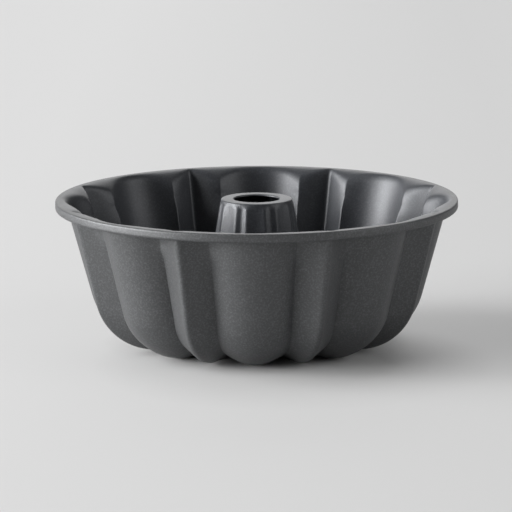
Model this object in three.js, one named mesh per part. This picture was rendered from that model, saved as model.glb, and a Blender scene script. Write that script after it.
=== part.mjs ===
// Fluted tube pan in coated steel: a drawn shell whose wall alternates round lobes and pointed flutes,
// a fluted centre tube seamed into its floor, and a wire hoop inside the rolled rim.
// Millimetres, +Z up. The pan stands on z = 0 with its axis on the origin, and a lobe faces -Y.
import * as THREE from 'three';
import { ParametricGeometry } from 'three/addons/geometries/ParametricGeometry.js';
import { mergeVertices } from 'three/addons/utils/BufferGeometryUtils.js';

// Overall sizes
const RIM_DIAMETER = 260;
const PAN_HEIGHT = 95;
const SHEET = 0.8; // thickness of the steel sheet
const CLEARANCE = 0.3; // gap between pieces that seat on each other

// Rim and shoulder
const RIM_FACE = 5.5; // height of the rim's outer face
const RIM_LAND = 4; // flat top of the rim, from its outer face inwards
const RIM_CORNER = 1.4;
const WIRE_DIAMETER = 1.9;
const SHOULDER_RADIUS = 15.7; // roll from the rim land down to the creases
const SHOULDER_BLEND = 4; // softness of the edge where the flutes run out into the shoulder

// Flutes of the wall. Setback is measured in from the rim land, draft in degrees from the vertical, and the
// floor of a line is the radius where its curve has turned level.
const LOBE_COUNT = 8;
const LOBE_ANGLE = 27.7; // degrees between the two creases of a lobe
const CREASE_ROUNDING = 1.2; // half the width over which a crease is rounded
const POINT_ROUNDING = 2; // half the width over which a point is rounded
const CREST_SETBACK = 2.6;
const CREST_DRAFT = 15.2;
const CREST_ROLL = 5.5; // radius over which a crest rolls out to the rim land
const CREST_FLOOR = 65;
const POINT_SETBACK = 1;
const POINT_DRAFT = 13.8;
const POINT_ROLL = 3; // radius over which a point rolls out to the rim land
const POINT_FLOOR = 68;
const CREASE_SETBACK = 12.8;
const CREASE_DRAFT = 14.7;
const CREASE_FLOOR = 68;
const CREASE_RISE = 9.5; // height of a crease above the floor where it has turned level

// Floor and seam
const RING_RADIUS = 51; // where the creases have died out, outer edge of the plain floor ring
const SEAM_JOGGLE = 1.7; // width of the step that lifts the floor's edge over the tube's foot

// Centre tube
const TUBE_DROP = 0.1; // how far the top of the tube is below the rim
const TUBE_TOP_DIAMETER = 47.8; // over the ridges, carried up to the top
const TUBE_HOLE_DIAMETER = 29.6;
const TUBE_DRAFT = 10;
const TUBE_INSET = 1; // how far the plain top ring is set in from the ridges
const TUBE_CORNER = 1;
const TUBE_LIP = 1; // depth of the lip turned down inside the hole
const LIP_CORNER = 0.5;
const TUBE_FLUTE_DEPTH = 1.8;
const TUBE_FLUTE_ROUNDING = 0.8;
const TUBE_FLUTE_MARGIN = 4; // bands at the top and the foot in which the flutes run out
const BEAD_RADIUS = 1.7; // swaged bead that holds the floor's edge down
const FOOT_FLANGE = 4.7; // width of the flange turned out under the floor's edge

// Steps of the facets
const SHELL_LOBE_STEPS = 3;
const TUBE_LOBE_STEPS = 2;
const BEND_STEPS = 5;
const SHOULDER_STEPS = 5;
const BEAD_STEPS = 3;
const ROUNDING_SAMPLES = 4;
const WIRE_SIDES = 6;
const WIRE_STEPS = 64;

const { degToRad, lerp } = THREE.MathUtils;

// Sizes that follow from the ones above
const rimRadius = RIM_DIAMETER / 2;
const landRadius = rimRadius - RIM_LAND;
const pitch = (2 * Math.PI) / LOBE_COUNT;
const creaseAngle = degToRad(LOBE_ANGLE) / 2;
const pointAngle = pitch / 2;
const wallRounding = {
  crease: CREASE_ROUNDING / (landRadius - CREASE_SETBACK),
  point: POINT_ROUNDING / (landRadius - CREASE_SETBACK),
};
const tubeRounding = {
  crease: (2 * TUBE_FLUTE_ROUNDING) / TUBE_TOP_DIAMETER,
  point: (2 * TUBE_FLUTE_ROUNDING) / TUBE_TOP_DIAMETER,
};

const flangeTop = CLEARANCE + SHEET;
const seamTop = flangeTop + CLEARANCE + SHEET;
const beadBottom = seamTop + CLEARANCE;
const beadCentre = beadBottom + BEAD_RADIUS;
const beadTop = beadCentre + BEAD_RADIUS;

const tubeTop = PAN_HEIGHT - TUBE_DROP;
const tubeRadius = (z) => TUBE_TOP_DIAMETER / 2 + (tubeTop - z) * Math.tan(degToRad(TUBE_DRAFT));
const neckRadius = tubeRadius(beadCentre);
const footRadius = neckRadius + FOOT_FLANGE;

const dropBelowRim = (z) => Math.max(PAN_HEIGHT - z, 0);

// How far a quarter-round edge of a radius has turned in, at a drop below its top
const turnIn = (radius, drop) => Math.sqrt(drop * (2 * radius - drop));

// A line that the wall follows from the rim to the floor: a roll at the rim, a straight draft, a curve that
// turns it level, and a run in to the plain floor ring. Radii and heights are those of the inner face.
function guideLine({ setback, draft, roll = 0, floorRadius, rise = 0 }) {
  const lean = degToRad(draft);
  const floorLevel = SHEET + rise;
  const topRadius = landRadius - setback;
  const rollRadiusAtTop = topRadius + roll * Math.tan(Math.PI / 4 - lean / 2);
  const rollDepth = roll * (1 - Math.sin(lean));
  const wallRadius = (z) => {
    const drop = dropBelowRim(z);
    if (drop < rollDepth) {
      return rollRadiusAtTop - turnIn(roll, drop);
    }
    return topRadius - drop * Math.tan(lean);
  };
  const curve = (wallRadius(floorLevel) - floorRadius) / Math.tan(Math.PI / 4 - lean / 2);
  return {
    onWall: (z) => new THREE.Vector2(wallRadius(z), z),
    onCurve(share) {
      const turn = share * (Math.PI / 2 - lean);
      const radius = floorRadius + curve * Math.sin(turn);
      return new THREE.Vector2(radius, floorLevel + curve * (1 - Math.cos(turn)));
    },
    onFloor: (share) => new THREE.Vector2(lerp(RING_RADIUS, floorRadius, share), SHEET + rise * share),
  };
}

const crestLine = guideLine({
  setback: CREST_SETBACK,
  draft: CREST_DRAFT,
  roll: CREST_ROLL,
  floorRadius: CREST_FLOOR,
});
const pointLine = guideLine({
  setback: POINT_SETBACK,
  draft: POINT_DRAFT,
  roll: POINT_ROLL,
  floorRadius: POINT_FLOOR,
});
const creaseLine = guideLine({
  setback: CREASE_SETBACK,
  draft: CREASE_DRAFT,
  floorRadius: CREASE_FLOOR,
  rise: CREASE_RISE,
});

// A station is one ring of a sheet. A round one has one radius and height, a fluted one has three.
function roundStation(radius, height) {
  return { round: new THREE.Vector2(radius, height) };
}

function wallStation(pick) {
  return {
    crest: pick(crestLine),
    crease: pick(creaseLine),
    point: pick(pointLine),
    rounding: wallRounding,
    meetsShoulder: true,
  };
}

function tubeStation(height) {
  const ridge = tubeRadius(height);
  const groove = new THREE.Vector2(ridge - TUBE_FLUTE_DEPTH, height);
  return {
    crest: groove,
    crease: new THREE.Vector2(ridge, height),
    point: groove,
    rounding: tubeRounding,
    meetsShoulder: false,
  };
}

// The middle of the lobe nearest to an angle, and the angle away from it
function fromLobe(angle) {
  const lobeCentre = Math.round(angle / pitch) * pitch;
  return { lobeCentre, offset: angle - lobeCentre };
}

// The place on a fluted station before its creases and points are rounded. In plan a lobe is an arc through
// its crest and both creases, and a pointed flute has two straight sides.
function sharpPlace(station, angle) {
  const { lobeCentre, offset } = fromLobe(angle);
  const away = Math.abs(offset);
  const edge = new THREE.Vector3(
    station.crease.x * Math.cos(creaseAngle),
    station.crease.x * Math.sin(creaseAngle),
    station.crease.y,
  );
  const place = new THREE.Vector3();
  if (away < creaseAngle) {
    const sweep = 2 * Math.atan2(station.crest.x - edge.x, edge.y);
    const turn = (sweep * away) / creaseAngle;
    const share = (1 - Math.cos(turn)) / (1 - Math.cos(sweep));
    place.x = lerp(station.crest.x, edge.x, share);
    place.y = (edge.y * Math.sin(turn)) / Math.sin(sweep);
    place.z = lerp(station.crest.y, edge.z, share);
  } else {
    const tip = new THREE.Vector3(
      station.point.x * Math.cos(pointAngle),
      station.point.x * Math.sin(pointAngle),
      station.point.y,
    );
    place.lerpVectors(edge, tip, (away - creaseAngle) / (pointAngle - creaseAngle));
  }
  place.y *= Math.sign(offset);
  return place.applyAxisAngle(new THREE.Vector3(0, 0, 1), lobeCentre);
}

// The shoulder is a surface of revolution that takes over where it lies outside the flutes.
function shoulderRadius(height) {
  const drop = dropBelowRim(height);
  if (drop < SHOULDER_RADIUS) {
    return landRadius - turnIn(SHOULDER_RADIUS, drop);
  }
  return landRadius - drop;
}

function smoothMax(a, b, blend) {
  const shared = Math.max(blend - Math.abs(a - b), 0);
  return Math.max(a, b) + (shared * shared) / (4 * blend);
}

// The place of the sheet's face at a station and an angle
function facePlace(station, angle) {
  if (station.round) {
    const { x: radius, y: height } = station.round;
    return new THREE.Vector3(radius * Math.cos(angle), radius * Math.sin(angle), height);
  }
  const { crease, point } = station.rounding;
  const towardsPoint = (Math.abs(fromLobe(angle).offset) - creaseAngle) / (pointAngle - creaseAngle);
  const rounding = lerp(crease, point, Math.max(towardsPoint, 0));
  const place = new THREE.Vector3();
  for (let i = 0; i < ROUNDING_SAMPLES; i += 1) {
    const spread = (2 * i + 1) / ROUNDING_SAMPLES - 1;
    place.add(sharpPlace(station, angle + spread * rounding));
  }
  place.divideScalar(ROUNDING_SAMPLES);
  if (station.meetsShoulder) {
    const radius = Math.hypot(place.x, place.y);
    const widened = smoothMax(radius, shoulderRadius(place.z), SHOULDER_BLEND) / radius;
    place.x *= widened;
    place.y *= widened;
  }
  return place;
}

// Angles of the facets' edges: even across each lobe, and close on both sides of each crease and point
function columnAngles(lobeSteps, rounding) {
  const half = [];
  for (let i = 0; i <= lobeSteps; i += 1) {
    half.push(((creaseAngle - rounding.crease) * i) / lobeSteps);
  }
  half.push(creaseAngle + rounding.crease, pointAngle - rounding.point);
  const mirrored = half.slice(1).reverse().map((angle) => pitch - angle);
  const flute = [...half, pointAngle, ...mirrored];
  const turns = Array.from({ length: LOBE_COUNT }, (_, i) => i * pitch);
  return turns.flatMap((start) => flute.map((angle) => start + angle));
}

// A closed solid from the face of a sheet: a second skin one sheet behind it, and a strip along each
// open edge
function thicken(face) {
  face.computeVertexNormals();
  const { position, normal } = face.attributes;
  const count = position.count;
  const points = new Float32Array(6 * count);
  const point = new THREE.Vector3();
  const outward = new THREE.Vector3();
  for (let i = 0; i < count; i += 1) {
    point.fromBufferAttribute(position, i).toArray(points, 3 * i);
    outward.fromBufferAttribute(normal, i);
    point.addScaledVector(outward, -SHEET).toArray(points, 3 * (count + i));
  }

  const corners = face.index.array;
  const triangles = [];
  const edges = new Map();
  for (let i = 0; i < corners.length; i += 3) {
    const [a, b, c] = corners.slice(i, i + 3);
    triangles.push(a, b, c, count + c, count + b, count + a);
    for (const [from, to] of [[a, b], [b, c], [c, a]]) {
      edges.set(`${from} ${to}`, [from, to]);
    }
  }
  for (const [from, to] of edges.values()) {
    if (!edges.has(`${to} ${from}`)) {
      triangles.push(to, from, count + from, to, count + from, count + to);
    }
  }

  const solid = new THREE.BufferGeometry();
  solid.setAttribute('position', new THREE.BufferAttribute(points, 3));
  solid.setIndex(triangles);
  solid.computeVertexNormals();
  return solid;
}

// A piece of formed sheet, from its stations and the angles of its columns. The columns run clockwise,
// so stations that go outwards along a floor have their face upwards.
function formedSheet(stations, columns) {
  const face = new ParametricGeometry(
    (u, v, target) => {
      const angle = columns[Math.round(u * columns.length) % columns.length];
      const station = stations[Math.round(v * (stations.length - 1))];
      target.copy(facePlace(station, -angle));
    },
    columns.length,
    stations.length - 1,
  );
  face.deleteAttribute('normal');
  face.deleteAttribute('uv');
  return thicken(mergeVertices(face));
}

// Rim section, shared by the shell's roll and the wire inside it
const rollWidth = WIRE_DIAMETER + 2 * (CLEARANCE + SHEET);
const rollRadius = rimRadius - rollWidth;
const rollBottom = PAN_HEIGHT - RIM_FACE;
const rollEdge = PAN_HEIGHT - SHEET - 2 * CLEARANCE;

// Shell: seam edge, plain floor ring, curve, wall, shoulder, rim land and rolled rim
function shellStations() {
  const holeRadius = neckRadius + CLEARANCE;
  const joggleRadius = footRadius + 2 * CLEARANCE;
  const ringInner = joggleRadius + SEAM_JOGGLE;
  const stations = [
    roundStation(holeRadius, seamTop),
    roundStation(joggleRadius, seamTop),
    roundStation(ringInner, SHEET),
    roundStation(lerp(ringInner, RING_RADIUS, 1 / 3), SHEET),
    roundStation(lerp(ringInner, RING_RADIUS, 2 / 3), SHEET),
    roundStation(RING_RADIUS, SHEET),
  ];
  stations.push(wallStation((line) => line.onFloor(1 / 2)));
  for (let i = 0; i <= BEND_STEPS; i += 1) {
    stations.push(wallStation((line) => line.onCurve(i / BEND_STEPS)));
  }
  const shoulderFoot = PAN_HEIGHT - SHOULDER_RADIUS;
  for (let i = 0; i <= SHOULDER_STEPS; i += 1) {
    const turn = (Math.PI / 2) * (i / SHOULDER_STEPS);
    const height = shoulderFoot + SHOULDER_RADIUS * Math.sin(turn);
    stations.push(wallStation((line) => line.onWall(height)));
  }
  stations.push(
    roundStation(rimRadius - RIM_CORNER, PAN_HEIGHT),
    roundStation(rimRadius, PAN_HEIGHT - RIM_CORNER),
    roundStation(rimRadius, rollBottom + SHEET),
    roundStation(rimRadius - SHEET, rollBottom),
    roundStation(rollRadius + SHEET, rollBottom),
    roundStation(rollRadius, rollBottom + SHEET),
    roundStation(rollRadius, rollEdge),
  );
  return stations;
}

// Centre tube: lip, top ring, fluted wall, bead and foot flange
function tubeStations() {
  const holeRadius = TUBE_HOLE_DIAMETER / 2;
  const stations = [
    roundStation(holeRadius, tubeTop - TUBE_LIP),
    roundStation(holeRadius, tubeTop - LIP_CORNER),
    roundStation(holeRadius + LIP_CORNER, tubeTop),
    roundStation(TUBE_TOP_DIAMETER / 2 - TUBE_INSET - TUBE_CORNER, tubeTop),
    roundStation(tubeRadius(tubeTop - TUBE_CORNER) - TUBE_INSET, tubeTop - TUBE_CORNER),
    tubeStation(tubeTop - TUBE_FLUTE_MARGIN),
    tubeStation(beadTop + TUBE_FLUTE_MARGIN),
  ];
  for (let i = 0; i <= BEAD_STEPS; i += 1) {
    const turn = Math.PI * (0.5 - i / BEAD_STEPS);
    const radius = neckRadius + BEAD_RADIUS * Math.cos(turn);
    stations.push(roundStation(radius, beadCentre + BEAD_RADIUS * Math.sin(turn)));
  }
  stations.push(roundStation(neckRadius, flangeTop), roundStation(footRadius, flangeTop));
  return stations;
}

function piece(name, geometry, material) {
  const mesh = new THREE.Mesh(geometry, material);
  mesh.name = name;
  return mesh;
}

const coatedSteel = new THREE.MeshStandardMaterial({ color: 0x4b4c4e, roughness: 0.5, metalness: 0.2 });
const barSteel = new THREE.MeshStandardMaterial({ color: 0x9a9c9e, roughness: 0.35, metalness: 1 });

const shell = piece(
  'fluted_shell',
  formedSheet(shellStations(), columnAngles(SHELL_LOBE_STEPS, wallRounding)),
  coatedSteel,
);

const tube = piece(
  'centre_tube',
  formedSheet(tubeStations(), columnAngles(TUBE_LOBE_STEPS, tubeRounding)),
  coatedSteel,
);

const wire = piece(
  'rim_wire',
  new THREE.TorusGeometry(rimRadius - rollWidth / 2, WIRE_DIAMETER / 2, WIRE_SIDES, WIRE_STEPS),
  barSteel,
);
wire.position.z = rollBottom + SHEET + CLEARANCE + WIRE_DIAMETER / 2;

const pan = new THREE.Group();
pan.name = 'fluted_tube_pan';
pan.add(shell, tube, wire);

export default pan;
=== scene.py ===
"""Fluted tube pan in coated steel: a drawn shell, a centre tube and the wire in the rolled rim.

Metres, +Z up. The pan stands on z = 0 with its axis on the origin, and a lobe of the wall faces -Y.
"""

import math

import bmesh
import bpy
import numpy as np
from bpy.props import FloatProperty, FloatVectorProperty, IntProperty, PointerProperty
from mathutils import Matrix, Vector


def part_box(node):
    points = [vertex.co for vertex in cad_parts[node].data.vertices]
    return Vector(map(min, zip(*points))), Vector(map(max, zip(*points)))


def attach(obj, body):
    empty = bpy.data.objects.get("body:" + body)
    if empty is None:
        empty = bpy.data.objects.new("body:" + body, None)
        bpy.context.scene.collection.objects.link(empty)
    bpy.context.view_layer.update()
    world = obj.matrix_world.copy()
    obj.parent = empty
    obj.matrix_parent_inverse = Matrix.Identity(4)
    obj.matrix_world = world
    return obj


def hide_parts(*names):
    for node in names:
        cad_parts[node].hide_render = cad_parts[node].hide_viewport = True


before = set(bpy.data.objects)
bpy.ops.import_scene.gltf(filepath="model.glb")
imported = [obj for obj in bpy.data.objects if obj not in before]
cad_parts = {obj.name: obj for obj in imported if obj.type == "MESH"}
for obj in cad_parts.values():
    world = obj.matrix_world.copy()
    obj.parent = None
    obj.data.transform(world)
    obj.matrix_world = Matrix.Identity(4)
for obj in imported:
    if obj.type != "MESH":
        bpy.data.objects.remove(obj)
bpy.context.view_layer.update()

bl_info = {
    "name": "Fluted tube pan",
    "version": (1, 0, 0),
    "blender": (4, 5, 0),
    "location": "3D View > Sidebar > Tube pan",
    "description": "Models a fluted ring-cake pan of coated steel and the studio it stands in",
    "category": "Add Mesh",
}

SHELL_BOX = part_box("fluted_shell")
TUBE_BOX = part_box("centre_tube")
WIRE_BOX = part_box("rim_wire")

FULL_TURN = 2 * math.pi
RIGHT_ANGLE = math.pi / 2
MM = 0.001
# Faces that meet at a greater angle are shaded apart
SHARP_EDGE = math.radians(50)


def linear(hex_colour):
    """An sRGB hex value as linear red, green and blue."""
    values = [int(hex_colour[i:i + 2], 16) / 255 for i in (0, 2, 4)]
    return [v / 12.92 if v <= 0.04045 else ((v + 0.055) / 1.055) ** 2.4 for v in values]


def length(name, description, default):
    return FloatProperty(name=name, description=description, default=default, unit="LENGTH", precision=5)


def angle(name, description, degrees):
    return FloatProperty(name=name, description=description, default=math.radians(degrees), subtype="ANGLE")


def colour(name, description, hex_colour):
    return FloatVectorProperty(name=name, description=description, default=linear(hex_colour),
                               subtype="COLOR")


def power(name, description, default):
    return FloatProperty(name=name, description=description, default=default, min=0)


def portion(name, description, default):
    return FloatProperty(name=name, description=description, default=default, min=0, max=1,
                         subtype="FACTOR")


# Sizes that a user would change


class FluteSizes(bpy.types.PropertyGroup):
    """The pattern of lobes and pointed flutes that the wall and the tube share"""

    count: IntProperty(name="Lobes", description="Round lobes round the pan", default=8)
    lobe_angle: angle("Lobe angle", "Angle between the two creases of a lobe", 27.7)


class ShellSizes(bpy.types.PropertyGroup):
    """The drawn shell: floor, fluted wall, shoulder and rolled rim"""

    rim_radius: length("Rim radius", "Outer face of the rim", SHELL_BOX[1].x)
    height: length("Height", "Top of the rim above the table", SHELL_BOX[1].z)
    sheet: length("Sheet", "Thickness of the steel sheet", 0.8 * MM)
    rim_face: length("Rim face", "Height of the rim's outer face", 5.5 * MM)
    rim_land: length("Rim land", "Flat top of the rim, from its outer face inwards", 4 * MM)
    rim_corner: length("Rim corner", "Rounding of the rim's upper edge", 1 * MM)
    rim_barrel: angle("Rim barrel", "Lean of the rim's outer face at its upper edge", 2)
    roll_width: length("Roll width", "Width of the rolled rim over its two faces", 4.1 * MM)
    roll_corner: length("Roll corner", "Rounding of the rim's lower edges", 1.3 * MM)
    roll_gap: length("Roll gap", "Gap between the end of the roll and the underside of the land", 0.6 * MM)
    shoulder_radius: length("Shoulder radius", "Roll from the rim land down to the creases", 15.7 * MM)
    shoulder_blend: length("Shoulder blend", "Softness of the run-out of the flutes", 4 * MM)
    crease_rounding: length("Crease rounding", "Half the width over which a crease is rounded", 0.6 * MM)
    point_rounding: length("Point rounding", "Half the width over which a point is rounded", 1.8 * MM)
    foot_rounding: length("Foot rounding", "The same at the foot of the flute", 4.5 * MM)
    crest_setback: length("Crest setback", "Crest of a lobe, in from the rim land", 2.6 * MM)
    crest_draft: angle("Crest draft", "Lean of a lobe's crest", 15.2)
    crest_roll: length("Crest roll", "Radius over which a lobe's crest rolls out to the rim", 9 * MM)
    crest_floor: length("Crest floor", "Radius where a lobe's crest lies down on the floor", 65 * MM)
    point_setback: length("Point setback", "Point of a flute, in from the rim land", 1 * MM)
    point_draft: angle("Point draft", "Lean of a flute's point", 13.8)
    point_roll: length("Point roll", "Radius over which a flute's point rolls out to the rim", 7 * MM)
    roll_lean: angle("Roll lean", "Lean at which these rolls meet the rim land", 55)
    point_floor: length("Point floor", "Radius where a flute's point lies down on the floor", 68 * MM)
    crease_setback: length("Crease setback", "Crease beside a lobe, in from the rim land", 12.8 * MM)
    crease_draft: angle("Crease draft", "Lean of a crease", 14.7)
    crease_floor: length("Crease floor", "Radius where a crease has turned level", 70 * MM)
    crease_rise: length("Crease rise", "Height of a crease over the floor where it is level", 7.8 * MM)
    ring_radius: length("Ring radius", "Outer edge of the plain floor ring", 51 * MM)
    seam_top: length("Seam top", "Top of the floor's edge over the tube's foot", 2.2 * MM)
    seam_inner: length("Seam inner radius", "Hole in the floor for the tube", TUBE_BOX[1].x - 4.4 * MM)
    seam_outer: length("Seam outer radius", "Outer edge of the raised seam", TUBE_BOX[1].x + 0.6 * MM)
    joggle: length("Joggle", "Width of the step that lifts the floor's edge", 1.7 * MM)


class TubeSizes(bpy.types.PropertyGroup):
    """The centre tube: lip, top ring, fluted wall, bead and foot flange"""

    top: length("Top", "Top ring of the tube above the table", TUBE_BOX[1].z)
    top_radius: length("Top radius", "Over the ridges, carried up to the top", 23.9 * MM)
    inset: length("Top inset", "How far the plain top ring is set in from the ridges", 1 * MM)
    hole_radius: length("Hole radius", "Opening in the top ring", 14.8 * MM)
    draft: angle("Tube draft", "Lean of the tube's wall", 10)
    corner: length("Top corner", "Rounding between the top ring and the wall", 1 * MM)
    lip: length("Lip", "Depth of the lip turned down inside the hole", 1 * MM)
    lip_corner: length("Lip corner", "Rounding of the hole's edge", 0.9 * MM)
    flute_depth: length("Flute depth", "Depth of the grooves below the ridges", 1.8 * MM)
    groove_run: length("Groove run", "Length over which the grooves deepen below the top ring", 22 * MM)
    rounding: length("Ridge rounding", "Half the width over which a ridge or groove is rounded", 1.1 * MM)
    margin: length("Flute margin", "Band above and below in which the flutes run out", 4 * MM)
    bead_radius: length("Bead radius", "Swaged bead over the floor's edge", 1.7 * MM)
    bead_height: length("Bead height", "Middle of the bead above the table", 4.2 * MM)
    foot_radius: length("Foot radius", "Edge of the flange under the floor", TUBE_BOX[1].x)
    flange_top: length("Flange top", "Upper face of the foot flange", 1.1 * MM)


class CoatColours(bpy.types.PropertyGroup):
    """Colours of the coats and of the bare wire"""

    outer: colour("Outer coat", "Ground colour of the speckled coat", "474849")
    fleck: colour("Flecks", "Pale flecks in the speckled coat", "5b5c5e")
    inner: colour("Inner coat", "Ground colour of the satin coat on the cake side", "323438")
    inner_fleck: colour("Inner flecks", "Pale flecks in the satin coat", "404246")
    wire: colour("Wire", "Drawn steel wire", "a4a6a8")


class StudioSettings(bpy.types.PropertyGroup):
    """Floor, light and camera"""

    # Painted shade: the floor's colour darkens from the first tone to the second away from the light, for
    # its fall-off
    floor: colour("Floor", "Pale floor on the side of the light", "cecece")
    far_floor_shade: colour("Far floor", "Pale floor on the far side", "c4c4c4")
    # Painted light: where clear of the pan the floor glows with its own tone, lifting the lamps' shadow,
    # more on the lit side
    floor_glow: portion("Floor glow", "Share of the floor's plain tone that shows on the lit side", 0.8)
    far_glow: portion("Far glow", "Share of the floor's plain tone that shows on the far side", 0.3)
    floor_level: power("Floor level", "Brightness of that tone", 1.2)
    key_front: power("Key front", "Strength of the front end of the long low light on the left", 2.9)
    key: power("Key", "Strength of the middle of the long low light", 4.8)
    key_back: power("Key back", "Strength of the back end of the long low light", 1)
    left_high: power("Left high", "Strength of the light above the key", 1.6)
    overhead: power("Overhead", "Strength of the light from above", 0.35)
    back: power("Back", "Strength of the light from behind", 1)
    fill: power("Fill", "Strength of the light from the right", 1.1)
    world: power("World", "Brightness of the room all round", 0.12)
    lens: FloatProperty(name="Lens", description="Focal length in millimetres", default=239.4,
                        subtype="DISTANCE_CAMERA")
    distance: length("Camera distance", "From the middle of the rim", 2.2)
    azimuth: angle("Camera azimuth", "Turn to the right round the pan", 1.1)
    elevation: angle("Camera elevation", "Above the rim's level", 9.851)
    roll: angle("Camera roll", "Turn of the picture about its middle", 0.268)
    aim_side: length("Aim side", "Middle of the picture, to the right of the pan's axis", -0.56 * MM)
    aim_height: length("Aim height", "Middle of the picture, above the table", 56.9 * MM)


# Form of a fluted sheet


def lerp(a, b, share):
    return a + (b - a) * share


def ease(share):
    """A share that starts and ends gently."""
    return share * share * (3 - 2 * share)


def on_circle(radius, height, turn):
    return Vector((radius * math.cos(turn), radius * math.sin(turn), height))


class FluteForm:
    """Round lobes and pointed flutes, lofted between a crest, a crease and a point, which are given as a
    radius and a height. Roundings are given as turns."""

    ROUNDING_SAMPLES = 8
    # Columns from a lobe's middle to a flute's point: the share that is used up at each column turn
    COLUMN_SHARES = (0, 10 / 24, 16 / 24, 21 / 24, 1)
    # Half the width of the bands in which the columns are drawn together, in roundings
    CROWDED = 1.3

    def __init__(self, flutes, crease_rounding, point_rounding, foot_rounding):
        self.pitch = FULL_TURN / flutes.count
        self.crease_turn = flutes.lobe_angle / 2
        self.point_turn = self.pitch / 2
        self.crease_rounding = crease_rounding
        self.point_rounding = point_rounding
        self.foot_rounding = foot_rounding
        crowd = self.CROWDED * crease_rounding
        self.column_turns = (0, self.crease_turn - crowd, self.crease_turn + crowd,
                             self.point_turn - self.CROWDED * point_rounding, self.point_turn)

    def from_lobe(self, turn):
        """The middle of the nearest lobe, and the turn away from it."""
        lobe = round(turn / self.pitch) * self.pitch
        return lobe, turn - lobe

    def column_turn(self, turn):
        """Draws the even columns of a spin closer together at the creases and points."""
        lobe, offset = self.from_lobe(turn)
        crowded = np.interp(abs(offset) / self.point_turn, self.COLUMN_SHARES, self.column_turns)
        return lobe + math.copysign(crowded, offset)

    def sharp_place(self, crest, crease, point, turn):
        """In plan a lobe is an arc through its crest and both creases, and a flute has straight sides."""
        lobe, offset = self.from_lobe(turn)
        edge = on_circle(*crease, self.crease_turn)
        if abs(offset) < self.crease_turn:
            sweep = 2 * math.atan2(crest[0] - edge.x, edge.y)
            part = sweep * abs(offset) / self.crease_turn
            share = (1 - math.cos(part)) / (1 - math.cos(sweep))
            place = Vector((lerp(crest[0], edge.x, share), edge.y * math.sin(part) / math.sin(sweep),
                            lerp(crest[1], edge.z, share)))
        else:
            tip = on_circle(*point, self.point_turn)
            share = (abs(offset) - self.crease_turn) / (self.point_turn - self.crease_turn)
            place = edge.lerp(tip, share)
        place.y = math.copysign(place.y, offset)
        return Matrix.Rotation(lobe, 3, "Z") @ place

    def place(self, crest, crease, point, turn, foot=0):
        """The sharp form averaged over the rounding, which rounds the creases and points. The share of the
        way to the foot of a flute makes its point rounder."""
        _, offset = self.from_lobe(turn)
        towards_point = (abs(offset) - self.crease_turn) / (self.point_turn - self.crease_turn)
        at_point = lerp(self.point_rounding, self.foot_rounding, foot)
        rounding = lerp(self.crease_rounding, at_point, max(towards_point, 0))
        total = Vector()
        for i in range(self.ROUNDING_SAMPLES):
            spread = (2 * i + 1) / self.ROUNDING_SAMPLES - 1
            total += self.sharp_place(crest, crease, point, turn + spread * rounding)
        return total / self.ROUNDING_SAMPLES


class GuideLine:
    """A line that the wall follows: a roll at the rim, a straight draft, then a curve onto the floor."""

    def __init__(self, shell, setback, draft, floor_radius, rise=0, roll=0):
        self.rise = rise
        self.draft = draft
        self.roll = roll
        self.roll_lift = math.sin(shell.roll_lean)
        self.height = shell.height
        self.top_radius = shell.rim_radius - shell.rim_land - setback
        self.floor_radius = floor_radius
        self.floor_level = shell.sheet + rise
        reach = self.on_wall(self.floor_level)[0] - self.floor_radius
        self.curve = reach / math.tan(math.pi / 4 - draft / 2)

    def on_wall(self, height):
        """Radius and height on the roll or the draft."""
        drop = self.height - height
        roll_drop = self.roll * (self.roll_lift - math.sin(self.draft))
        if drop < roll_drop:
            middle = self.top_radius - roll_drop * math.tan(self.draft) + self.roll * math.cos(self.draft)
            return middle - self.roll * math.sqrt(1 - (self.roll_lift - drop / self.roll) ** 2), height
        return self.top_radius - drop * math.tan(self.draft), height

    def on_curve(self, share):
        """Radius and height on the curve, from the floor upwards."""
        turn = share * (RIGHT_ANGLE - self.draft)
        return (self.floor_radius + self.curve * math.sin(turn),
                self.floor_level + self.curve * (1 - math.cos(turn)))


def smooth_max(a, b, blend):
    """The greater of two values, with a soft change where they lie within the blend."""
    shared = max(blend - abs(a - b), 0)
    return max(a, b) + shared * shared / (4 * blend)


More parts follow.
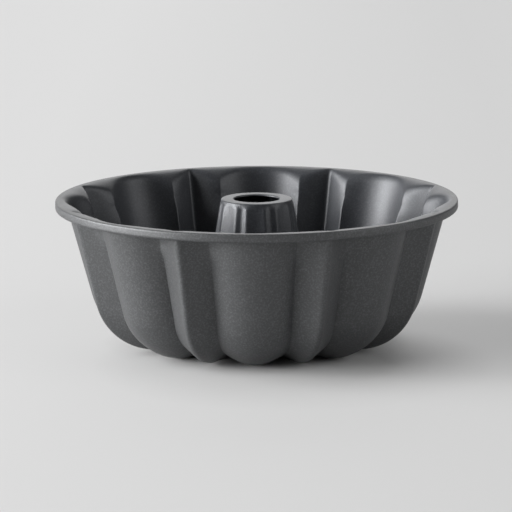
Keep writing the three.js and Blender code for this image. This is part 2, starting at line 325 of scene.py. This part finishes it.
def shell_stretches(shell, form):
    """The shell's face from the seam to the end of the roll: the steps of each stretch, and its place at a
    share of the stretch and a turn round the pan."""
    lines = (
        GuideLine(shell, shell.crest_setback, shell.crest_draft, shell.crest_floor, roll=shell.crest_roll),
        GuideLine(shell, shell.crease_setback, shell.crease_draft, shell.crease_floor,
                  rise=shell.crease_rise),
        GuideLine(shell, shell.point_setback, shell.point_draft, shell.point_floor, roll=shell.point_roll),
    )
    land_radius = shell.rim_radius - shell.rim_land
    ring_inner = shell.seam_outer + shell.joggle
    shoulder_foot = shell.height - shell.shoulder_radius
    roll_bottom = shell.height - shell.rim_face
    upper_level = shell.height - shell.rim_corner
    lower_level = roll_bottom + shell.roll_corner
    roll_radius = shell.rim_radius - shell.roll_width
    roll_end = shell.height - shell.sheet - shell.roll_gap
    inner_edge = roll_radius + shell.roll_corner
    lean = math.sin(shell.rim_barrel)
    barrel = (shell.rim_face - shell.rim_corner * (1 - lean) - shell.roll_corner) / lean
    barrel_radius = shell.rim_radius - barrel
    top_edge = barrel_radius + (barrel - shell.rim_corner) * math.cos(shell.rim_barrel)
    outer_edge = shell.rim_radius - shell.roll_corner

    def shoulder_radius(height):
        drop = shell.height - height
        if drop < shell.shoulder_radius:
            return land_radius - math.sqrt(max(drop * (2 * shell.shoulder_radius - drop), 0))
        return land_radius - drop

    def wall_place(pick, turn, foot=0):
        place = form.place(*(pick(line) for line in lines), turn, foot)
        radius = place.xy.length
        place.xy *= smooth_max(radius, shoulder_radius(place.z), shell.shoulder_blend) / radius
        return place

    def seam(share, turn):
        return on_circle(lerp(shell.seam_inner, shell.seam_outer, share), shell.seam_top, turn)

    def joggle(share, turn):
        height = lerp(shell.seam_top, shell.sheet, ease(share))
        return on_circle(lerp(shell.seam_outer, ring_inner, share), height, turn)

    def ring(share, turn):
        return on_circle(lerp(ring_inner, shell.ring_radius, share), shell.sheet, turn)

    def fade(share, turn):
        def pick(line):
            return lerp(shell.ring_radius, line.floor_radius, share), shell.sheet + line.rise * ease(share)
        return form.place(*(pick(line) for line in lines), turn, 1)

    def curve(share, turn):
        return wall_place(lambda line: line.on_curve(share), turn, 1 - ease(share))

    def draft(share, turn):
        return wall_place(lambda line: line.on_wall(lerp(line.on_curve(1)[1], shoulder_foot, share)), turn)

    def shoulder(share, turn):
        height = shoulder_foot + shell.shoulder_radius * math.sin(share * RIGHT_ANGLE)
        return wall_place(lambda line: line.on_wall(height), turn)

    def land(share, turn):
        return shoulder(1, turn).lerp(on_circle(top_edge, shell.height, turn), share)

    def bend(radius, height, size, start, end):
        def place(share, turn):
            heading = lerp(start, end, share)
            return on_circle(radius + size * math.cos(heading), height + size * math.sin(heading), turn)
        return place

    def bottom(share, turn):
        return on_circle(lerp(outer_edge, inner_edge, share), roll_bottom, turn)

    def roll(share, turn):
        return on_circle(roll_radius, lerp(lower_level, roll_end, share), turn)

    return (
        (2, seam), (4, joggle), (2, ring), (5, fade), (20, curve), (7, draft), (22, shoulder), (3, land),
        (5, bend(top_edge, upper_level, shell.rim_corner, RIGHT_ANGLE, shell.rim_barrel)),
        (6, bend(barrel_radius, lower_level, barrel, shell.rim_barrel, 0)),
        (4, bend(outer_edge, lower_level, shell.roll_corner, 0, -RIGHT_ANGLE)), (1, bottom),
        (4, bend(inner_edge, lower_level, shell.roll_corner, -RIGHT_ANGLE, -math.pi)), (2, roll),
    )


def tube_stretches(tube, form):
    """The tube's face from the lip to the edge of the foot flange, in the same way."""
    lean = math.tan(tube.draft)

    def wall_radius(height):
        return tube.top_radius + (tube.top - height) * lean

    neck_radius = wall_radius(tube.bead_height)
    ring_radius = tube.top_radius - tube.inset - tube.corner
    corner_foot = tube.top - tube.corner
    flute_top = tube.top - tube.margin
    bead_top = tube.bead_height + tube.bead_radius
    flute_foot = bead_top + tube.margin

    def fluted(height, turn):
        deepened = min((tube.top - height) / tube.groove_run, 1)
        ridge = (wall_radius(height), height)
        groove = (wall_radius(height) - lerp(tube.inset, tube.flute_depth, deepened), height)
        return form.place(groove, ridge, groove, turn)

    def lip(share, turn):
        height = lerp(tube.top - tube.lip, tube.top - tube.lip_corner, share)
        return on_circle(tube.hole_radius, height, turn)

    def lip_corner(share, turn):
        bend = share * RIGHT_ANGLE
        return on_circle(tube.hole_radius + tube.lip_corner * (1 - math.cos(bend)),
                         tube.top - tube.lip_corner * (1 - math.sin(bend)), turn)

    def top_ring(share, turn):
        return on_circle(lerp(tube.hole_radius + tube.lip_corner, ring_radius, share), tube.top, turn)

    def corner(share, turn):
        bend = share * RIGHT_ANGLE
        reach = wall_radius(corner_foot) - tube.inset - ring_radius
        return on_circle(ring_radius + reach * math.sin(bend),
                         tube.top - tube.corner * (1 - math.cos(bend)), turn)

    def run_in(share, turn):
        height = lerp(corner_foot, flute_top, share)
        plain = on_circle(wall_radius(height) - tube.inset, height, turn)
        return plain.lerp(fluted(height, turn), ease(share))

    def flutes(share, turn):
        return fluted(lerp(flute_top, flute_foot, share), turn)

    def run_out(share, turn):
        height = lerp(flute_foot, bead_top, share)
        plain = on_circle(lerp(wall_radius(flute_foot), neck_radius, share), height, turn)
        return fluted(height, turn).lerp(plain, ease(share))

    def bead(share, turn):
        bend = RIGHT_ANGLE - share * math.pi
        return on_circle(neck_radius + tube.bead_radius * math.cos(bend),
                         tube.bead_height + tube.bead_radius * math.sin(bend), turn)

    def neck(share, turn):
        height = lerp(tube.bead_height - tube.bead_radius, tube.flange_top, share)
        return on_circle(neck_radius, height, turn)

    def flange(share, turn):
        return on_circle(lerp(neck_radius, tube.foot_radius, share), tube.flange_top, turn)

    return (
        (2, lip), (6, lip_corner), (4, top_ring), (6, corner), (6, run_in), (8, flutes), (6, run_out),
        (10, bead), (1, neck), (2, flange),
    )


def formed_sheet(stretches, columns, form):
    """A section wire with a vertex at each end of a stretch, subdivided, spun and moved onto the form of
    the sheet's face. Returns the mesh and the layer that counts the stretches."""
    bm = bmesh.new()
    run = bm.verts.layers.float.new("run")
    ends = [bm.verts.new((1 + i, 0, 0)) for i in range(len(stretches) + 1)]
    for i, vert in enumerate(ends):
        vert[run] = i
    wires = [bm.edges.new(ends[i:i + 2]) for i in range(len(stretches))]
    for wire, (steps, _) in zip(wires, stretches):
        bmesh.ops.subdivide_edges(bm, edges=[wire], cuts=steps - 1)
    bmesh.ops.spin(bm, geom=bm.verts[:] + bm.edges[:], axis=(0, 0, 1), angle=FULL_TURN, steps=columns,
                   use_merge=True)
    for vert in bm.verts:
        turn = form.column_turn(math.atan2(vert.co.y, vert.co.x))
        stretch = min(int(vert[run]), len(stretches) - 1)
        vert.co = stretches[stretch][1](vert[run] - stretch, turn)
    bmesh.ops.recalc_face_normals(bm, faces=bm.faces)
    return bm, run


def add_piece(name, bm, materials):
    """A finished piece: its mesh at the origin and its finishes, riding on the pan's one body."""
    mesh = bpy.data.meshes.new(name)
    bm.to_mesh(mesh)
    bm.free()
    mesh.shade_smooth()
    mesh.set_sharp_from_angle(angle=SHARP_EDGE)
    for material in materials:
        mesh.materials.append(material)
    piece = bpy.data.objects.new(name, mesh)
    bpy.context.scene.collection.objects.link(piece)
    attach(piece, "root")
    return piece


# Finishes


def add_node(tree, kind, inputs=None, **settings):
    """Adds a node with its settings, and fills or links its inputs."""
    node = tree.nodes.new(kind)
    for name, value in settings.items():
        setattr(node, name, value)
    for socket, value in (inputs or {}).items():
        if isinstance(value, bpy.types.NodeSocket):
            tree.links.new(value, node.inputs[socket])
        else:
            node.inputs[socket].default_value = value
    return node


def new_material(name):
    """An empty node material, its tree and the coordinates that its patterns follow."""
    material = bpy.data.materials.new(name)
    material.use_nodes = True
    tree = material.node_tree
    tree.nodes.clear()
    return material, tree, add_node(tree, "ShaderNodeTexCoord").outputs["Object"]


def finish_material(tree, surface):
    add_node(tree, "ShaderNodeOutputMaterial", {"Surface": surface})


def rgba(rgb):
    return (*rgb, 1)


# Levels of the grain between which a fleck comes up out of the ground colour
FLECK_LEVELS = (0.45, 0.75)
# Patches in which a coat is a little duller or glossier, and by how much
CLOUD_SIZE = 16 * MM
CLOUD_GLOSS = 0.05


def nonstick_coat(name, ground, fleck, metallic, roughness, grain_size, peel):
    """A sprayed and baked coat on steel: dark grey with fine pale flecks, a little uneven in its gloss,
    over an orange peel of the given depth. The real grain, about 0.3 mm, is too fine to show, so it is
    drawn as coarse as it needs to be seen."""
    material, tree, place = new_material(name)
    grain = add_node(tree, "ShaderNodeTexNoise", {"Vector": place, "Scale": 1 / grain_size, "Detail": 2})
    flecks = add_node(tree, "ShaderNodeMapRange", {
        "Value": grain.outputs["Fac"], "From Min": FLECK_LEVELS[0], "From Max": FLECK_LEVELS[1]})
    # The colours of a mix are its inputs 6 and 7 and its output 2
    mixed = add_node(tree, "ShaderNodeMix", {0: flecks.outputs["Result"], 6: rgba(ground), 7: rgba(fleck)},
                     data_type="RGBA")
    clouds = add_node(tree, "ShaderNodeTexNoise", {"Vector": place, "Scale": 1 / CLOUD_SIZE, "Detail": 1})
    gloss = add_node(tree, "ShaderNodeMapRange", {
        "Value": clouds.outputs["Fac"], "To Min": roughness - CLOUD_GLOSS,
        "To Max": roughness + CLOUD_GLOSS})
    bump = add_node(tree, "ShaderNodeBump", {"Height": grain.outputs["Fac"], "Distance": peel})
    shader = add_node(tree, "ShaderNodeBsdfPrincipled", {
        "Base Color": mixed.outputs[2], "Metallic": metallic, "Roughness": gloss.outputs["Result"],
        "Normal": bump.outputs["Normal"]})
    finish_material(tree, shader.outputs["BSDF"])
    return material


def outer_coat(colours):
    """The outside of the shell: dull, finely speckled."""
    return nonstick_coat("speckled_nonstick_coat", colours.outer, colours.fleck,
                         metallic=0.4, roughness=0.48, grain_size=1.1 * MM, peel=0.005 * MM)


def inner_coat(colours):
    """The cake side, rolled smoother: a slate grey that takes broad soft reflections."""
    return nonstick_coat("satin_nonstick_coat", colours.inner, colours.inner_fleck,
                         metallic=0.25, roughness=0.45, grain_size=1.1 * MM, peel=0.006 * MM)


def tube_coat(colours):
    """The tube, dipped: the same slate grey with a grain that sparkles in the light."""
    return nonstick_coat("grained_nonstick_coat", colours.inner, colours.inner_fleck,
                         metallic=0.25, roughness=0.42, grain_size=1 * MM, peel=0.17 * MM)


def drawn_wire(colours):
    """Drawn steel wire: bright, with small dull marks where it rubbed through the die."""
    material, tree, place = new_material("drawn_steel_wire")
    marks = add_node(tree, "ShaderNodeTexNoise", {"Vector": place, "Scale": 1 / (0.4 * MM)})
    gloss = add_node(tree, "ShaderNodeMapRange", {
        "Value": marks.outputs["Fac"], "To Min": 0.25, "To Max": 0.4})
    shader = add_node(tree, "ShaderNodeBsdfPrincipled", {
        "Base Color": rgba(colours.wire), "Metallic": 1, "Roughness": gloss.outputs["Result"]})
    finish_material(tree, shader.outputs["BSDF"])
    return material


# Half the width over which the floor turns from its lit tone to its darker far tone, a painted shade for
# the light's fall-off
FLOOR_TURN = 0.2
# Middle of the pan's shadow, and the distances from it over which the painted glow comes in and lifts the
# shadow
SHADOW_MIDDLE = (0.025, -0.065, 0)
SHADOW_FADE = (0.06, 0.13)
# Distances from the pan's axis over which the painted glow comes in round the foot, so the contact shadow
# stays
FOOT_FADE = (0.065, 0.1)


def pale_floor(settings):
    """A matt painted table top. Its colour darkens away from the light, a painted shade for the light's
    fall-off.
    Where it is clear of the pan it also glows with its own tone to the eye and in reflections, a painted
    light that lifts the lamps' shadow there."""
    material, tree, place = new_material("matt_painted_board")
    across = add_node(tree, "ShaderNodeSeparateXYZ", {"Vector": place})
    away = add_node(tree, "ShaderNodeMapRange", {
        "Value": across.outputs["X"], "From Min": -FLOOR_TURN, "From Max": FLOOR_TURN})
    # Painted shade: the lit tone turns into the darker far tone across the floor
    tone = add_node(tree, "ShaderNodeMix", {
        0: away.outputs["Result"], 6: rgba(settings.floor), 7: rgba(settings.far_floor_shade)}, data_type="RGBA")
    paint = add_node(tree, "ShaderNodeBsdfPrincipled", {
        "Base Color": tone.outputs[2], "Roughness": 0.9, "Specular IOR Level": 0.1})
    # Painted light: a glow of the floor's own tone, shown to the eye and in reflections, that lifts the
    # shadow away from the pan
    plain = add_node(tree, "ShaderNodeEmission", {
        "Color": tone.outputs[2], "Strength": settings.floor_level})
    glow = add_node(tree, "ShaderNodeMapRange", {
        "Value": away.outputs["Result"], "To Min": settings.floor_glow, "To Max": settings.far_glow})
    shadow = add_node(tree, "ShaderNodeVectorMath", {0: place, 1: SHADOW_MIDDLE}, operation="DISTANCE")
    clear = add_node(tree, "ShaderNodeMapRange", {
        "Value": shadow.outputs["Value"], "From Min": SHADOW_FADE[0], "From Max": SHADOW_FADE[1],
        "To Max": glow.outputs["Result"]})
    rays = add_node(tree, "ShaderNodeLightPath").outputs
    mirrored = add_node(tree, "ShaderNodeMath", {0: rays["Is Glossy Ray"], 1: rays["Is Transmission Ray"]},
                        operation="MAXIMUM")
    seen = add_node(tree, "ShaderNodeMath", {0: rays["Is Camera Ray"], 1: mirrored.outputs["Value"]},
                    operation="MAXIMUM")
    axis = add_node(tree, "ShaderNodeVectorMath", {0: place}, operation="LENGTH")
    foot = add_node(tree, "ShaderNodeMapRange", {
        "Value": axis.outputs["Value"], "From Min": FOOT_FADE[0], "From Max": FOOT_FADE[1],
        "To Max": seen.outputs["Value"]})
    share = add_node(tree, "ShaderNodeMath", {0: foot.outputs["Result"], 1: clear.outputs["Result"]},
                     operation="MULTIPLY")
    shader = add_node(tree, "ShaderNodeMixShader", {
        0: share.outputs["Value"], 1: paint.outputs["BSDF"], 2: plain.outputs["Emission"]})
    finish_material(tree, shader.outputs["Shader"])
    return material


# Operators


class PAN_OT_fluted_shell(bpy.types.Operator):
    """Models the drawn shell with its fluted wall, shoulder and rolled rim"""

    bl_idname = "pan.fluted_shell"
    bl_label = "Fluted shell"

    COLUMNS = 384
    # The stretch of the rim's land, from which on the face has the outer coat
    FIRST_RIM_STRETCH = 7

    def execute(self, context):
        scene = context.scene
        shell = scene.pan_shell
        crease_radius = shell.rim_radius - shell.rim_land - shell.crease_setback
        roundings = (shell.crease_rounding, shell.point_rounding, shell.foot_rounding)
        form = FluteForm(scene.pan_flutes, *(rounding / crease_radius for rounding in roundings))
        bm, run = formed_sheet(shell_stretches(shell, form), self.COLUMNS, form)
        for face in bm.faces:
            face.material_index = int(min(vert[run] for vert in face.verts) >= self.FIRST_RIM_STRETCH)
        back = bmesh.ops.solidify(bm, geom=bm.faces[:], thickness=shell.sheet)["geom"]
        for face in back:
            if isinstance(face, bmesh.types.BMFace):
                face.material_index = 1
        coats = (inner_coat(scene.pan_colours), outer_coat(scene.pan_colours))
        piece = add_piece("formed_shell", bm, coats)
        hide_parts("fluted_shell")
        return {"FINISHED"}


class PAN_OT_centre_tube(bpy.types.Operator):
    """Models the fluted centre tube with its lip, bead and foot flange"""

    bl_idname = "pan.centre_tube"
    bl_label = "Centre tube"

    COLUMNS = 256

    def execute(self, context):
        scene = context.scene
        tube = scene.pan_tube
        rounding = tube.rounding / tube.top_radius
        form = FluteForm(scene.pan_flutes, rounding, rounding, rounding)
        bm, _ = formed_sheet(tube_stretches(tube, form), self.COLUMNS, form)
        bmesh.ops.solidify(bm, geom=bm.faces[:], thickness=scene.pan_shell.sheet)
        piece = add_piece("formed_tube", bm, (tube_coat(scene.pan_colours),))
        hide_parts("centre_tube")
        return {"FINISHED"}


class PAN_OT_rim_wire(bpy.types.Operator):
    """Models the wire hoop inside the rolled rim"""

    bl_idname = "pan.rim_wire"
    bl_label = "Rim wire"

    SIDES = 16
    STEPS = 192

    def execute(self, context):
        low, high = WIRE_BOX
        shell = context.scene.pan_shell
        middle = Vector((shell.rim_radius - shell.roll_width / 2, 0, (low.z + high.z) / 2))
        bm = bmesh.new()
        upright = Matrix.Translation(middle) @ Matrix.Rotation(RIGHT_ANGLE, 4, "X")
        bmesh.ops.create_circle(bm, segments=self.SIDES, radius=high.x - middle.x, matrix=upright)
        bmesh.ops.spin(bm, geom=bm.verts[:] + bm.edges[:], axis=(0, 0, 1), angle=FULL_TURN,
                       steps=self.STEPS, use_merge=True)
        bmesh.ops.recalc_face_normals(bm, faces=bm.faces)
        piece = add_piece("round_wire", bm, (drawn_wire(context.scene.pan_colours),))
        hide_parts("rim_wire")
        return {"FINISHED"}


class PAN_OT_studio(bpy.types.Operator):
    """Sets up the floor, the light and the camera"""

    bl_idname = "pan.studio"
    bl_label = "Studio"

    FLOOR_SIZE = 14
    # Degrees round by the left from the front, degrees above the floor, and degrees that the light fills
    LAMPS = {
        "key_front": (64, 8, 30), "key": (86, 8, 30), "key_back": (108, 8, 30), "left_high": (92, 33, 34),
        "overhead": (180, 72, 50), "back": (180, 16, 50), "fill": (-74, 22, 46),
    }

    def execute(self, context):
        scene = context.scene
        settings = scene.pan_studio
        self.add_floor(scene, settings)
        self.add_light(scene, settings)
        self.add_camera(scene, settings)
        scene.view_settings.view_transform = "Standard"
        return {"FINISHED"}

    def add_floor(self, scene, settings):
        bm = bmesh.new()
        bmesh.ops.create_grid(bm, x_segments=1, y_segments=1, size=self.FLOOR_SIZE / 2)
        mesh = bpy.data.meshes.new("floor")
        bm.to_mesh(mesh)
        bm.free()
        mesh.materials.append(pale_floor(settings))
        floor = bpy.data.objects.new("floor", mesh)
        scene.collection.objects.link(floor)

    def add_light(self, scene, settings):
        for name, (turn, lift, spread) in self.LAMPS.items():
            lamp = bpy.data.lights.new(name, "SUN")
            lamp.energy = getattr(settings, name)
            lamp.angle = math.radians(spread)
            source = bpy.data.objects.new(name, lamp)
            flat = math.cos(math.radians(lift))
            towards = Vector((-math.sin(math.radians(turn)) * flat, -math.cos(math.radians(turn)) * flat,
                              math.sin(math.radians(lift))))
            source.rotation_euler = towards.to_track_quat("Z", "Y").to_euler()
            scene.collection.objects.link(source)
        world = bpy.data.worlds.new("studio")
        world.use_nodes = True
        background = world.node_tree.nodes["Background"]
        background.inputs["Color"].default_value = (1, 1, 1, 1)
        background.inputs["Strength"].default_value = settings.world
        scene.world = world

    def add_camera(self, scene, settings):
        camera = bpy.data.objects.new("camera", bpy.data.cameras.new("camera"))
        camera.data.lens = settings.lens
        flat = settings.distance * math.cos(settings.elevation)
        rim_middle = Vector((0, 0, scene.pan_shell.height))
        camera.location = rim_middle + Vector((
            flat * math.sin(settings.azimuth), -flat * math.cos(settings.azimuth),
            settings.distance * math.sin(settings.elevation)))
        aim = Vector((settings.aim_side, 0, settings.aim_height))
        look = (aim - camera.location).to_track_quat("-Z", "Y")
        camera.rotation_euler = (look.to_matrix() @ Matrix.Rotation(-settings.roll, 3, "Z")).to_euler()
        scene.collection.objects.link(camera)
        scene.camera = camera


class PAN_PT_sidebar(bpy.types.Panel):
    """Lists the sizes and the steps of the pan"""

    bl_label = "Tube pan"
    bl_idname = "PAN_PT_sidebar"
    bl_space_type = "VIEW_3D"
    bl_region_type = "UI"
    bl_category = "Tube pan"

    def draw(self, context):
        for operator in OPERATORS:
            self.layout.operator(operator.bl_idname)
        for name, group in GROUPS.items():
            box = self.layout.box()
            box.label(text=group.__doc__)
            for key in group.__annotations__:
                box.prop(getattr(context.scene, name), key)


GROUPS = {
    "pan_flutes": FluteSizes,
    "pan_shell": ShellSizes,
    "pan_tube": TubeSizes,
    "pan_colours": CoatColours,
    "pan_studio": StudioSettings,
}
OPERATORS = (PAN_OT_fluted_shell, PAN_OT_centre_tube, PAN_OT_rim_wire, PAN_OT_studio)


def register():
    for cls in (*GROUPS.values(), *OPERATORS, PAN_PT_sidebar):
        bpy.utils.register_class(cls)
    for name, group in GROUPS.items():
        setattr(bpy.types.Scene, name, PointerProperty(type=group))


def unregister():
    for name in GROUPS:
        delattr(bpy.types.Scene, name)
    for cls in reversed((*GROUPS.values(), *OPERATORS, PAN_PT_sidebar)):
        bpy.utils.unregister_class(cls)


def main():
    register()
    bpy.ops.pan.fluted_shell()
    bpy.ops.pan.centre_tube()
    bpy.ops.pan.rim_wire()
    bpy.ops.pan.studio()


if __name__ == "__main__":
    main()
